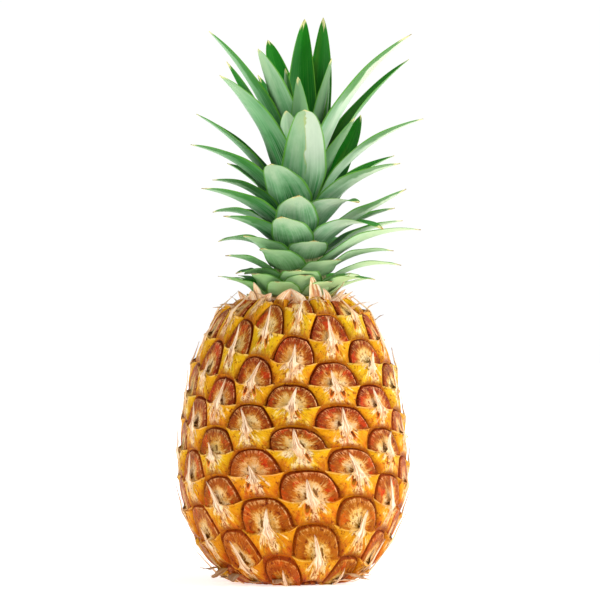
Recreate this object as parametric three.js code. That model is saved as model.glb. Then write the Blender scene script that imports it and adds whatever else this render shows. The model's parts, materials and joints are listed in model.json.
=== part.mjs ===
// A whole ripe pineapple that stands on its own base: a barrel-shaped fruit covered with a spiral of eyes,
// and a crown of stiff channelled leaves round a short stem. Millimetres, +Z up, the front faces -Y, and the
// origin is under the middle of the fruit, on the surface that it stands on.
import * as THREE from "three";

// Fruit
// The fruit's outline as radius and height, from the seat of the crown, over the shoulder, down to the base.
const FRUIT_OUTLINE = [
  [3, 153.2],
  [15, 153.4],
  [24, 152.6],
  [33, 148.8],
  [42, 140],
  [51.6, 120],
  [56.6, 98],
  [60, 70],
  [59.8, 50],
  [54.6, 31],
  [46, 14.4],
  [36, 4.8],
  [26, 0.2],
  [16, -2.4],
  [5, -3],
];
const OUTLINE_STEPS = 60; // samples between two outline points
const CROWN_SEAT_HEIGHT = 154; // the flat top that carries the crown's stem
const CROWN_SEAT_RADIUS = 27;
const BASE_HEIGHT = 0; // the plane that the fruit rests on

// Spiral of eyes
// A single spiral runs down and to the right round the fruit. An eye stands every COLUMN_STEP columns along
// it, so the eyes line up in upright columns, each half a cell lower than the next one.
const COLUMNS = 17;
const COLUMN_STEP = 2;
const EYES_PER_TURN = COLUMNS / COLUMN_STEP;
const COLUMN_ANGLE = (2 * Math.PI) / COLUMNS;
const ROW_SLOPE = 1 / COLUMNS; // how far a row drops for each column, in turns
const FIRST_EYE = -13;
const LAST_EYE = 103;
const MIDDLE_TURN = 5;
const MIDDLE_HEIGHT = 81.7; // the height of the turn where the rows lie closest
const TURN_PITCH = 12.9; // from one turn of the spiral to the next, at the middle turn
const PITCH_GROWTH = 0.09; // eyes get taller towards both ends
const CROWDING = 6; // how far from the stalk and the crown the rows begin to crowd together
const FIRST_COLUMN = 0.31; // where the first column stands, in columns to the right of the front
const TWIST = 0.008; // the columns bend to the right away from the middle turn, by its square
// The slow waves by which eyes stray from even rows. Each has the times that it goes round the fruit, its
// size, its start in radians, and how far it drifts with each turn of the spiral.
const COLUMN_WAVES = [
  [1, 0.24, -0.79, 0.4],
  [2, 0.14, -0.38, 0.1],
  [3, 0.09, -0.91, 0.19],
];
const TURN_WAVES = [
  [1, 0.38, -0.91, -0.27],
  [2, 0.22, -3.05, 0.38],
];

// One eye
// A cell is six-sided. Its side corners are the bract's wing tips, and its upper half is the eye's flat cap.
const WING_TIP = 0.63; // from the middle to a side corner, in columns
const TOP_CORNER = 1 - WING_TIP; // from the middle to an upper or lower corner, in columns
const EDGE_BOW_SIDE = 0.035; // how far a cap's round edge bulges into its neighbours, in columns
const EDGE_BOW_UP = 0.08; // the same, in turns
const GROOVE_DEPTH = 1.9;
const RIM_INSET = 0.85; // the rim's distance from the middle, as a share of the cell's
const CAP_RIM = 0.7; // heights above the fruit's outline
const WING_RIM = 0.1;
const BRACT_FOOT = 0.6;
const BRACT_PEAK = 2.7;
// The inner ring of a cell: columns to the right, turns down, height.
const RIGHT_HALF_RING = [
  [0.4, -0.02, 1.6], // crest of the bract's wing
  [0.31, -0.4, 1.0], // cap
  [0.15, -0.7, 0.9], // cap beside the spike
];
const SPIKE_TIP = [0, -0.66, 3.6];
const KEEL = [0, 0.55, 1.7];
const LOWER_RIGHT_RING = [
  [0.17, 0.64, 1.1],
  [0.29, 0.42, 1.2],
];

// Crown stem
const STEM_GAP = 0.3; // touching pieces keep this gap
const STEM_BOTTOM = CROWN_SEAT_HEIGHT + STEM_GAP;
const STEM_BASE_RADIUS = 16.5;
const STEM_TOP_RADIUS = 4.6;
const STEM_TAPER_POWER = 0.9;
const STEM_LEAF_HEIGHT = 76; // the length of stem that bears leaves
const STEM_LEVELS = 4;
const STEM_BUD = [2.5, 2.6]; // the radius and height of the blunt bud's shoulder on top of the stem
const STEM_BUD_HEIGHT = 3.4;
const STEM_SIDES = 16;
const CROWN_SHIFT = 3; // the crown stands this far to the right of the fruit's axis
const CROWN_LEAN = THREE.MathUtils.degToRad(1.5); // and leans to the right

// Leaves
const LEAF_COUNT = 58;
const FRONT_LEAF = 5; // the leaf that faces the viewer, low on the crown
const LEAF_TURN = -137.508; // degrees round the stem from one leaf to the next
const FIRST_LEAF_LIFT = 1;
const LAST_LEAF_DROP = 4; // the innermost leaf starts this far below the top of the stem
const CLIMB_POWER = 1.1; // leaves stand closer together low on the stem
const SHORT_LEAF = 26;
const LONG_LEAF = 114;
const LENGTH_POWER = 1.6;
const HEART_LEAVES = 7; // the young upright leaves in the middle are shorter again
const HEART_SHORTENING = 0.4;
const WIDTHS = [22, 28, 22]; // of the lowest, the middle and the innermost leaf
const FOOT_LEANS = [58, 38, 14]; // the same, how far a leaf's foot leans out from upright, in degrees
const LOW_TIP_LEAN = 100;
const HIGH_TIP_LEAN = 2;
const TIP_LEAN_POWER = 2.5;
const SUNNY_GROWTH = 0.16; // leaves on the right are longer and lean out more than those on the left
const SUNNY_LEAN = 4;
const FOOT_WRAP = 1.6; // a foot goes round the stem by at most this angle, in radians
const OPEN_AT = 0.5; // by this share of its length a leaf no longer follows the stem's roundness
const FLATTEST_COSINE = 0.2; // keeps a level foot from wrapping round an endless circle
const WIDEST_AT = 0.3;
const TAPER_POWER = 1.7;
const TAPER_ROUNDING = 0.7;
const LEAF_THICKNESS = 1.3;
const FOOT_THICKNESS = 0.6;
const TIP_THICKNESS = 0.5;
const LOW_FOLD = 0.3; // the channel's fold, in radians
const HIGH_FOLD = 0.5;
const FOLD_POWER = 1.5; // 1 is a sharp keel, 2 is a round gutter
const MARGIN_WAVE = 0.6;
const MARGIN_WAVES = 2.3;
const WAVE_POWER = 3; // the margins' waves fade quickly towards the midrib
const TURN_JITTER = 3; // in degrees
const TIP_LEAN_JITTER = 4;
const DRIFT_JITTER = 5; // how far a tip strays sideways, in degrees round the stem
const LENGTH_JITTER = 0.05;
const HOOK_START = 0.75;
const PLAIN_LEAF = { turn: 0, longer: 1, foot: 0, lean: 0, hook: 0, wider: 1, flat: 0.3 };
// The leaves that stand out: turned round the stem, lengthened, leaned out further at the foot and at the tip,
// hooked at the tip and widened, and with how much of the fold is gone at the tip: above 1 its margins droop.
// Angles are in degrees.
const SPECIAL_LEAVES = {
  2: { longer: 1.2, flat: 1 },
  3: { turn: 45, longer: 0.5, lean: -35, flat: 1 },
  5: { longer: 0.96, lean: -15, wider: 1.1, flat: 1.3 },
  7: { longer: 1.25 },
  8: { turn: -8, longer: 0.9, lean: 10, flat: 0.8 },
  10: { turn: 5, longer: 0.7, lean: -16, flat: 1.2 },
  11: { turn: 20, lean: -10 },
  12: { turn: -35, lean: -8 },
  13: { turn: -5, longer: 0.94, lean: -9, flat: 1.2 },
  15: { turn: 10, longer: 1.4, lean: -5 },
  16: { turn: 28, longer: 0.9, lean: -18, flat: 0.8 },
  18: { longer: 0.5, lean: -12, flat: 1.3 },
  19: { turn: 40, lean: 20 },
  20: { foot: 10, lean: -15 },
  21: { turn: 26, longer: 0.94, lean: -13, flat: 1.3 },
  23: { turn: 5, lean: 24, flat: 1 },
  24: { turn: 30, foot: 10 },
  25: { turn: -20, longer: 0.8, foot: 14, lean: -14 },
  26: { longer: 0.92, lean: -13, flat: 1.3 },
  27: { turn: 45, lean: 20 },
  28: { longer: 0.85, foot: 26, lean: -34 },
  29: { longer: 1.15, foot: 8, lean: 4 },
  31: { turn: 15, longer: 0.65, lean: 20, flat: 1 },
  32: { turn: 30, foot: -10, lean: 14 },
  33: { turn: 15, longer: 0.9, lean: -10 },
  34: { turn: 6, longer: 0.92, lean: 1, hook: 15, wider: 1.1, flat: 1.3 },
  35: { turn: 40, longer: 0.9, foot: 4, lean: -4 },
  36: { longer: 0.75, foot: 12 },
  37: { turn: 5, longer: 1.1, lean: 16 },
  38: { longer: 0.9, foot: 20, lean: -48 },
  39: { longer: 1.12, lean: 2, hook: 25, wider: 1.1, flat: 1.3 },
  40: { turn: 33, longer: 1.15, lean: 2 },
  41: { turn: -4, longer: 0.85, lean: 8 },
  42: { turn: -2, longer: 1.3, foot: -12, lean: 10 },
  44: { turn: 15, longer: 0.55, lean: -10, wider: 0.6 },
  45: { turn: -20, longer: 1.1, lean: -14 },
  46: { turn: -14, longer: 0.95, foot: -4, lean: 4 },
  47: { longer: 0.55 },
  48: { turn: -8, longer: 1.25, lean: 16 },
  49: { turn: -2, longer: 0.9, foot: -10, lean: 16 },
  50: { turn: -5, longer: 1.15, foot: -6, lean: 18 },
  51: { longer: 0.9, foot: 6, lean: -36 },
  52: { turn: -20, longer: 0.6, foot: 2, lean: -14, wider: 0.7 },
  53: { longer: 0.8, lean: 8 },
  54: { longer: 0.6, lean: -30, wider: 0.7 },
  55: { turn: -12, longer: 0.95, lean: 20, wider: 1.15 },
  56: { longer: 1.1, foot: -2, lean: 16 },
  57: { longer: 0.7, wider: 0.6 },
  58: { turn: 20, longer: 0.9 },
};
const LEAF_STEPS = 7;
const SHORT_LEAF_STEPS = 6;
const SHORT_LEAVES = 16;
const ACROSS = [-1, -0.5, 0, 0.5, 1];

// Colours and finishes
const RIND = new THREE.MeshStandardMaterial({ color: 0xc8781e, roughness: 0.5, metalness: 0 });
const STEM = new THREE.MeshStandardMaterial({ color: 0xd9cf9a, roughness: 0.7, metalness: 0 });
const LEAF = new THREE.MeshStandardMaterial({ color: 0x7fae84, roughness: 0.5, metalness: 0 });

// Small helpers
const lerp = THREE.MathUtils.lerp;
const radians = THREE.MathUtils.degToRad;
const smooth = (x) => THREE.MathUtils.smoothstep(x, 0, 1);

// A repeatable number from 0 to 1 for a leaf and a use, the same on every run.
function chance(number, use) {
  const x = Math.sin(number * 12.9898 + use * 78.233) * 43758.5453;
  return x - Math.floor(x);
}

const jitter = (number, use) => 2 * chance(number, use) - 1;

// A low, a middle and a high value, joined by straight lines over the share from 0 to 1.
function between([low, middle, high], share) {
  return share < 0.5 ? lerp(low, middle, 2 * share) : lerp(middle, high, 2 * share - 1);
}

function geometryOf(points, triangles) {
  const geometry = new THREE.BufferGeometry();
  geometry.setAttribute("position", new THREE.Float32BufferAttribute(points.flat(), 3));
  geometry.setIndex(triangles.flat());
  geometry.computeVertexNormals();
  return geometry;
}

// Fruit outline
// The outline as a smooth curve: samples of radius, height and distance along it, from top to bottom.
function sampleOutline() {
  const curve = new THREE.SplineCurve(FRUIT_OUTLINE.map(([r, z]) => new THREE.Vector2(r, z)));
  const steps = (FRUIT_OUTLINE.length - 1) * OUTLINE_STEPS;
  const samples = [];
  let distance = 0;
  let last = null;
  for (let n = 0; n <= steps; n++) {
    const point = curve.getPoint(n / steps);
    distance += last ? point.distanceTo(last) : 0;
    samples.push({ radius: point.x, height: point.y, distance });
    last = point;
  }
  return samples;
}

const outline = sampleOutline();
const outlineLength = outline.at(-1).distance;
const middleDistance = outline.find((sample) => sample.height <= MIDDLE_HEIGHT).distance;

// The point of the outline at a distance from the top, with the outward direction there.
function outlineAt(distance) {
  const wanted = THREE.MathUtils.clamp(distance, 0, outlineLength);
  const next = Math.max(1, outline.findIndex((sample) => sample.distance >= wanted));
  const a = outline[next - 1];
  const b = outline[next];
  const span = b.distance - a.distance;
  const share = (wanted - a.distance) / span;
  return {
    radius: lerp(a.radius, b.radius, share),
    height: lerp(a.height, b.height, share),
    outwards: (a.height - b.height) / span,
    upwards: (b.radius - a.radius) / span,
  };
}

// The distance along the outline for turns past the middle turn. Rows crowd at both ends and never reach them.
function rowDistance(past) {
  const wanted = TURN_PITCH * past + PITCH_GROWTH * past ** 3;
  const room = past > 0 ? outlineLength - middleDistance : middleDistance;
  const rest = CROWDING * Math.log(1 + Math.exp((room - Math.abs(wanted)) / CROWDING));
  return middleDistance + Math.sign(past) * (room - rest);
}

// How far a set of waves moves a point at an angle round the fruit.
function stray(waves, round, past) {
  const moves = waves.map(([times, size, start, drift]) => size * Math.sin(times * round + start + drift * past));
  return moves.reduce((sum, move) => sum + move, 0);
}

// The place on the fruit of a column and a turn of the spiral, raised by a height.
function onFruit(column, turn, height) {
  const past = turn - MIDDLE_TURN;
  const round = column * COLUMN_ANGLE;
  const at = outlineAt(rowDistance(past + stray(TURN_WAVES, round, past)));
  const bend = FIRST_COLUMN + TWIST * past ** 2 + stray(COLUMN_WAVES, round, past);
  const angle = (column + bend) * COLUMN_ANGLE;
  const radius = at.radius + at.outwards * height;
  const ceiling = at.radius < CROWN_SEAT_RADIUS ? CROWN_SEAT_HEIGHT : Infinity;
  const z = THREE.MathUtils.clamp(at.height + at.upwards * height, BASE_HEIGHT, ceiling);
  return [radius * Math.sin(angle), -radius * Math.cos(angle), z];
}

// The twelve points on a cell's border, in the groove, anticlockwise from the right-hand wing tip.
function cellBorder() {
  const side = 0.5;
  return [
    [WING_TIP, 0],
    [side + EDGE_BOW_SIDE, -side - EDGE_BOW_UP],
    [TOP_CORNER, -1],
    [0, -1 - EDGE_BOW_UP],
    [-TOP_CORNER, -1],
    [-side - EDGE_BOW_SIDE, -side - EDGE_BOW_UP],
    [-WING_TIP, 0],
    [-side + EDGE_BOW_SIDE, side - EDGE_BOW_UP],
    [-TOP_CORNER, 1],
    [0, 1 - EDGE_BOW_UP],
    [TOP_CORNER, 1],
    [side - EDGE_BOW_SIDE, side - EDGE_BOW_UP],
  ].map(([column, turn]) => [column, turn, -GROOVE_DEPTH]);
}

function cellRim(border) {
  return border.map(([column, turn], n) => {
    const height = n % 6 === 0 ? WING_RIM : n < 6 ? CAP_RIM : BRACT_FOOT;
    return [column * RIM_INSET, turn * RIM_INSET, height];
  });
}

function cellInnerRing() {
  const mirrored = (points) => points.map(([column, turn, height]) => [-column, turn, height]);
  const right = RIGHT_HALF_RING;
  const left = mirrored(right).reverse();
  const lowerLeft = mirrored(LOWER_RIGHT_RING).reverse();
  return [...right, SPIKE_TIP, ...left, ...lowerLeft, KEEL, ...LOWER_RIGHT_RING];
}

// The fruit is one closed skin: a cell for each eye, and a fan over the open ring at the top and at the base.
function makeFruit() {
  const points = [];
  const triangles = [];
  const known = new Map();
  const grid = 1000; // cells share the points that fall on the same thousandth of a column and a turn

  function point(column, turn, height) {
    const place = Math.round((((column % COLUMNS) + COLUMNS) % COLUMNS) * grid) % (COLUMNS * grid);
    const key = place + "/" + Math.round(turn * grid);
    if (!known.has(key)) {
      known.set(key, points.length);
      points.push(onFruit(column, turn, height));
    }
    return known.get(key);
  }

  const border = cellBorder();
  const rings = [border, cellRim(border), cellInnerRing()];
  for (let eye = FIRST_EYE; eye <= LAST_EYE; eye++) {
    const place = ([column, turn, height]) =>
      point(eye * COLUMN_STEP + column, eye / EYES_PER_TURN + turn + column * ROW_SLOPE, height);
    const ring = rings.map((shape) => shape.map(place));
    const peak = place([0, 0, BRACT_PEAK]);
    for (let n = 0; n < border.length; n++) {
      const m = (n + 1) % border.length;
      for (let r = 0; r < rings.length - 1; r++) {
        triangles.push([ring[r][n], ring[r][m], ring[r + 1][n]]);
        triangles.push([ring[r][m], ring[r + 1][m], ring[r + 1][n]]);
      }
      triangles.push([ring.at(-1)[n], ring.at(-1)[m], peak]);
    }
  }
  closeWithFans(points, triangles);
  return geometryOf(points, triangles);
}

// Closes the ragged rings at the top and the base of the skin, each with a fan to a point on the axis.
function closeWithFans(points, triangles) {
  const edges = new Set();
  for (const [a, b, c] of triangles) {
    for (const [from, to] of [[a, b], [b, c], [c, a]]) {
      edges.add(from + "/" + to);
    }
  }
  const top = points.push([0, 0, CROWN_SEAT_HEIGHT]) - 1;
  const base = points.push([0, 0, BASE_HEIGHT]) - 1;
  for (const edge of edges) {
    const [from, to] = edge.split("/").map(Number);
    if (!edges.has(to + "/" + from)) {
      triangles.push([to, from, points[from][2] > MIDDLE_HEIGHT ? top : base]);
    }
  }
}

// Crown stem
// The stem's radius at a share of its leafy length.
const stemRadius = (share) => lerp(STEM_BASE_RADIUS, STEM_TOP_RADIUS, share ** STEM_TAPER_POWER);

// Moves a piece of the crown off the fruit's axis and slants it to the right, while its level faces stay level.
function slant(geometry) {
  const slope = Math.tan(CROWN_LEAN);
  const shear = new THREE.Matrix4().makeShear(0, 0, 0, 0, slope, 0);
  return geometry.applyMatrix4(shear).translate(CROWN_SHIFT - slope * STEM_BOTTOM, 0, 0);
}

function makeStem() {
  const profile = [[0, 0]];
  for (let level = 0; level <= STEM_LEVELS; level++) {
    const share = level / STEM_LEVELS;
    profile.push([stemRadius(share), share * STEM_LEAF_HEIGHT]);
  }
  const [budRadius, budShoulder] = STEM_BUD;
  profile.push([budRadius, STEM_LEAF_HEIGHT + budShoulder], [0, STEM_LEAF_HEIGHT + STEM_BUD_HEIGHT]);
  const geometry = new THREE.LatheGeometry(
    profile.map(([r, z]) => new THREE.Vector2(r, z)),
    STEM_SIDES,
  );
  geometry.rotateX(Math.PI / 2).translate(0, 0, STEM_BOTTOM);
  return slant(geometry);
}

// Leaves
// All that sets one leaf apart, by its place in the spiral from the lowest leaf to the innermost.
function leafForm(number) {
  const special = { ...PLAIN_LEAF, ...SPECIAL_LEAVES[number] };
  const share = (number - 1) / (LEAF_COUNT - 1);
  const heart = Math.max(0, number - LEAF_COUNT + HEART_LEAVES) / HEART_LEAVES;
  const length = lerp(SHORT_LEAF, LONG_LEAF, share ** LENGTH_POWER) * (1 - HEART_SHORTENING * heart);
  const turn = LEAF_TURN * (number - FRONT_LEAF) + special.turn + TURN_JITTER * jitter(number, 1);
  const sunny = Math.sin(radians(turn));
  const growth = (1 + SUNNY_GROWTH * sunny) * (1 + LENGTH_JITTER * jitter(number, 2)) * special.longer;
  const tipLean = lerp(LOW_TIP_LEAN, HIGH_TIP_LEAN, share ** TIP_LEAN_POWER) + SUNNY_LEAN * sunny;
  const climb = lerp(FIRST_LEAF_LIFT, STEM_LEAF_HEIGHT - LAST_LEAF_DROP, share ** CLIMB_POWER);
  const footRadius = stemRadius(climb / STEM_LEAF_HEIGHT) + STEM_GAP + FOOT_THICKNESS;
  return {
    turn: radians(turn),
    foot: STEM_BOTTOM + climb,
    footRadius,
    length: length * growth,
    footLean: between(FOOT_LEANS, share) + special.foot,
    tipLean: tipLean + TIP_LEAN_JITTER * jitter(number, 3) + special.lean,
    hook: special.hook,
    width: between(WIDTHS, share) * special.wider,
    fold: lerp(LOW_FOLD, HIGH_FOLD, share),
    flat: special.flat,
    drift: radians(DRIFT_JITTER * jitter(number, 4)),
    wavePhase: 2 * Math.PI * chance(number, 6),
  };
}

// The middle line of a leaf, in its own upright plane: distance from the axis, height and lean at each step.
function leafSpine(form, steps) {
  const fine = 10; // short moves between two steps
  const spine = [];
  let out = form.footRadius;
  let up = form.foot;
  for (let n = 0; n <= steps * fine; n++) {
    const along = n / (steps * fine);
    const hook = form.hook * smooth((along - HOOK_START) / (1 - HOOK_START));
    const lean = radians(lerp(form.footLean, form.tipLean, along) + hook);
    if (n % fine === 0) {
      spine.push({ along, out, up, lean });
    }
    out += (Math.sin(lean) * form.length) / (steps * fine);
    up += (Math.cos(lean) * form.length) / (steps * fine);
  }
  return spine;
}

function leafWidth(form, along) {
  const footWidth = Math.min(form.width, FOOT_WRAP * form.footRadius);
  const width = lerp(footWidth, form.width, smooth(along / WIDEST_AT));
  return width * (1 - along ** TAPER_POWER) ** TAPER_ROUNDING;
}

function leafThickness(along) {
  const body = lerp(FOOT_THICKNESS, LEAF_THICKNESS, smooth(along / WIDEST_AT));
  return lerp(body, TIP_THICKNESS, along);
}

// A point of a leaf: across is from -1 to 1 between the margins, and depth from 0 on the outer face to 1 on
// the inner one. At its foot the leaf wraps round the stem, and further out it folds into a channel.
function leafPoint(form, spot, across, depth) {
  const half = leafWidth(form, spot.along) / 2;
  const wrapRadius = spot.out / Math.max(Math.cos(spot.lean), FLATTEST_COSINE);
  const wrap = (half / wrapRadius) * across;
  const wrapped = [wrapRadius * Math.sin(wrap), wrapRadius * (1 - Math.cos(wrap))];
  const fold = form.fold * (1 - form.flat * spot.along ** 2);
  const folded = [half * across * Math.cos(fold), half * Math.sin(fold) * Math.abs(across) ** FOLD_POWER];
  const open = smooth(spot.along / OPEN_AT);
  const wave = MARGIN_WAVE * Math.sin(2 * Math.PI * MARGIN_WAVES * spot.along + form.wavePhase * across);
  const aside = lerp(wrapped[0], folded[0], open);
  const rise = lerp(wrapped[1], folded[1], open) + open * wave * Math.abs(across) ** WAVE_POWER * (1 - spot.along);
  const lift = rise + depth * leafThickness(spot.along) * (1 - across ** 2);
  const out = spot.out - lift * Math.cos(spot.lean);
  const up = spot.up + lift * Math.sin(spot.lean);
  const turn = form.turn + form.drift * spot.along ** 2;
  return [
    out * Math.sin(turn) + aside * Math.cos(turn),
    -out * Math.cos(turn) + aside * Math.sin(turn),
    up,
  ];
}

// A leaf is a thin closed solid: an outer and an inner face that meet at the margins, the foot and the tip.
function makeLeaf(number) {
  const form = leafForm(number);
  const steps = number <= SHORT_LEAVES ? SHORT_LEAF_STEPS : LEAF_STEPS;
  const spine = leafSpine(form, steps);
  const points = [];
  const triangles = [];
  const last = ACROSS.length - 1;
  const outer = [];
  const inner = [];
  for (const spot of spine.slice(0, -1)) {
    const row = ACROSS.map((across) => points.push(leafPoint(form, spot, across, 0)) - 1);
    const back = ACROSS.map((across, n) =>
      n === 0 || n === last ? row[n] : points.push(leafPoint(form, spot, across, 1)) - 1,
    );
    outer.push(row);
    inner.push(back);
  }
  const tip = points.push(leafPoint(form, spine.at(-1), 0, 0.5)) - 1;
  for (let n = 0; n < last; n++) {
    for (let r = 0; r < outer.length - 1; r++) {
      const [a, b, c, d] = [outer[r][n], outer[r][n + 1], outer[r + 1][n + 1], outer[r + 1][n]];
      const [e, f, g, h] = [inner[r][n], inner[r][n + 1], inner[r + 1][n + 1], inner[r + 1][n]];
      triangles.push([a, b, c], [a, c, d], [e, g, f], [e, h, g]);
    }
    triangles.push([outer.at(-1)[n], outer.at(-1)[n + 1], tip]);
    triangles.push([inner.at(-1)[n + 1], inner.at(-1)[n], tip]);
    triangles.push([outer[0][n + 1], outer[0][n], inner[0][n + 1]]);
    triangles.push([outer[0][n], inner[0][n], inner[0][n + 1]]);
  }
  const whole = triangles.filter(([a, b, c]) => a !== b && b !== c && c !== a);
  return slant(geometryOf(points, whole));
}

// The whole fruit
function part(name, geometry, material) {
  const mesh = new THREE.Mesh(geometry, material);
  mesh.name = name;
  return mesh;
}

const crown = new THREE.Group();
crown.add(part("crown_stem", makeStem(), STEM));
for (let number = 1; number <= LEAF_COUNT; number++) {
  crown.add(part("leaf_" + String(number).padStart(2, "0"), makeLeaf(number), LEAF));
}

const pineapple = new THREE.Group();
pineapple.add(part("fruit", makeFruit(), RIND), crown);

export default pineapple;
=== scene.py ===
"""A whole ripe pineapple with its crown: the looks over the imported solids."""

import json
import math

import bpy
import numpy as np
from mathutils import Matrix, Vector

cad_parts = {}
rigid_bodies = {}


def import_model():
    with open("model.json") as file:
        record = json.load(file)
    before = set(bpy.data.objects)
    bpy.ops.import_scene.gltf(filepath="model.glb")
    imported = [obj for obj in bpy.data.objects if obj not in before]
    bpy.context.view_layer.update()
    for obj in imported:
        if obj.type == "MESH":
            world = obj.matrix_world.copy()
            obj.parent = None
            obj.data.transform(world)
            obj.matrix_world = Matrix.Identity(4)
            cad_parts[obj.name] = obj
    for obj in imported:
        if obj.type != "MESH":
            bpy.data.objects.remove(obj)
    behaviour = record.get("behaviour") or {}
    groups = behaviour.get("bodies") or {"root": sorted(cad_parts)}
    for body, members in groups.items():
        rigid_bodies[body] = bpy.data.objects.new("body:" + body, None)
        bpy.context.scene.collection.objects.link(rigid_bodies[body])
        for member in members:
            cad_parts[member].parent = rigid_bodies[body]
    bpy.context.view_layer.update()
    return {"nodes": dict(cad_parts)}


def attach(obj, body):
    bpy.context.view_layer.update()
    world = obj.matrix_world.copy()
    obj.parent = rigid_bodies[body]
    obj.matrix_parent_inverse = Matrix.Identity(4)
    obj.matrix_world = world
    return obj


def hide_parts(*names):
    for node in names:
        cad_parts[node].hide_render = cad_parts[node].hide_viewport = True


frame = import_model()

# Sizes are in millimetres, as the fruit was measured, and this turns them into Blender's metres.
MM = 0.001

# Fruit: radius and height from the crown's seat, over the shoulder, down to the base
FRUIT_OUTLINE = (
    (3, 153.2), (15, 153.4), (24, 152.6), (33, 148.8), (42, 140),
    (51.6, 120), (56.6, 98), (60, 70), (59.8, 50), (54.6, 31),
    (46, 14.4), (36, 4.8), (26, 0.2), (16, -2.4), (5, -3),
)
OUTLINE_STEPS = 60
SLOPE_STEP = 0.5  # to either side of a point, to read the outline's slope there
SEAT_HEIGHT = 154
SEAT_RADIUS = 27

# Spiral of eyes
COLUMNS = 17
COLUMN_STEP = 2
EYES_PER_TURN = COLUMNS / COLUMN_STEP
ROW_SLOPE = 1 / COLUMNS
FIRST_EYE = -13
LAST_EYE = 103
MIDDLE_TURN = 5
MIDDLE_HEIGHT = 81.7
TURN_PITCH = 12.9
PITCH_GROWTH = 0.09
CROWDING = 6
FIRST_COLUMN = 0.31
TWIST = 0.008
WELD_GAP = 0.02
# Slow waves by which eyes stray from even rows: times round the fruit, size, start, and drift with each turn
COLUMN_WAVES = ((1, 0.24, -0.79, 0.4), (2, 0.14, -0.38, 0.1), (3, 0.09, -0.91, 0.19))
TURN_WAVES = ((1, 0.38, -0.91, -0.27), (2, 0.22, -3.05, 0.38))

# One eye: columns to the right and turns down from its middle, and heights above the fruit's outline
COLUMN_WIDTH = 22.2  # at the fruit's widest
WING_TIP = 0.63
TOP_CORNER = 1 - WING_TIP
EDGE_BOW_SIDE = 0.02
EDGE_BOW_UP = 0.08
ARCH_WIDTH = 0.56  # half a cap's width at its foot, in columns
ARCH_HEIGHT = 1.07  # a cap's height, in turns
ARCH_LEAN = 0.08
ARCH_POWER = 2.4  # 2 is an ellipse, more is squarer
ARCH_LIMIT = 0.975
GROOVE_REACH = 0.97  # the ring where the groove round a cap ends
RAYS_PER_SIDE = (0, 0.035, 0.13, 0.3, 0.5, 0.7, 0.87, 0.965)  # closer together at a cell's corners
RINGS = (1, 0.97, 0.94, 0.9, 0.86, 0.78, 0.66, 0.53, 0.4, 0.27, 0.13)
CAP_PROFILE = (
    (0, 1), (0.13, 0.7), (0.4, 0.4), (0.66, 0.7), (0.78, 1),
    (0.86, 1.1), (0.9, 0.6), (0.94, -0.7), (0.97, 0), (1, 0.4),
)
BRACT_PROFILE = (
    (0, 2.3), (0.27, 2.2), (0.53, 1.9), (0.78, 1.6),
    (0.86, 1.4), (0.94, 1.1), (0.97, 0.8), (1, 0.4),
)
LIP_HEIGHT = 0.9
LIP_WIDTH = 0.02
BRACT_DIP = 0.13  # how far a bract's upper edge sags, in turns
LOBES = 3
LOBE_DEPTH = 0.02
SCALLOPS = 11
SCALLOP_DEPTH = 0.01
NOTCH_DEPTH = 0.12
NOTCH_WIDTH = 0.015
RIB_HEIGHT = 0.3

# Crown: the stem and the spiral of leaves. Turns and leans are in degrees, from the front and from upright.
STEM_GAP = 0.3
STEM_BOTTOM = SEAT_HEIGHT + STEM_GAP
STEM_BASE_RADIUS = 16.5
STEM_TOP_RADIUS = 4.6
STEM_TAPER_POWER = 0.9
STEM_LEAF_HEIGHT = 76
CROWN_SHIFT = 3
CROWN_LEAN = math.radians(1.5)
LEAF_COUNT = 58
FRONT_LEAF = 5
LEAF_TURN = -137.508
FIRST_LEAF_LIFT = 1
LAST_LEAF_DROP = 4
CLIMB_POWER = 1.1
SHORT_LEAF = 26
LONG_LEAF = 114
LENGTH_POWER = 1.6
HEART_LEAVES = 7
HEART_SHORTENING = 0.4
LEAF_WIDTHS = (22, 28, 22)  # of the lowest, the middle and the innermost leaf
FOOT_LEANS = (58, 38, 14)
LOW_TIP_LEAN = 100
HIGH_TIP_LEAN = 2
TIP_LEAN_POWER = 2.5
SUNNY_GROWTH = 0.16
SUNNY_LEAN = 4
FOOT_WRAP = 1.6
OPEN_AT = 0.5
FLATTEST_COSINE = 0.2
WIDEST_AT = 0.3
TAPER_POWER = 1.7
TAPER_ROUNDING = 0.7
LEAF_THICKNESS = 1.3
FOOT_THICKNESS = 0.6
TIP_THICKNESS = 0.5
MARGIN_THICKNESS = 0.14
NARROWEST = 0.3
LOW_FOLD = 0.3
HIGH_FOLD = 0.5
FOLD_POWER = 1.5
MARGIN_WAVE = 0.6
MARGIN_WAVES = 2.3
WAVE_POWER = 3
TURN_JITTER = 3
TIP_LEAN_JITTER = 4
DRIFT_JITTER = 5
LENGTH_JITTER = 0.05
HOOK_START = 0.75
CREASED_LEAF = 38  # counted from 0: the real leaf is folded along its middle; here its right half, facing the light, is painted paler and the whole leaf is painted darker
SLENDER = 0.8  # leaves of less than this share of the usual width are the heart's young ones
YOUNG = 2  # stands for the age of these
LEAF_STEPS = 70
SHORT_LEAF_STEPS = 60
SHORT_LEAVES = 16
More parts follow.
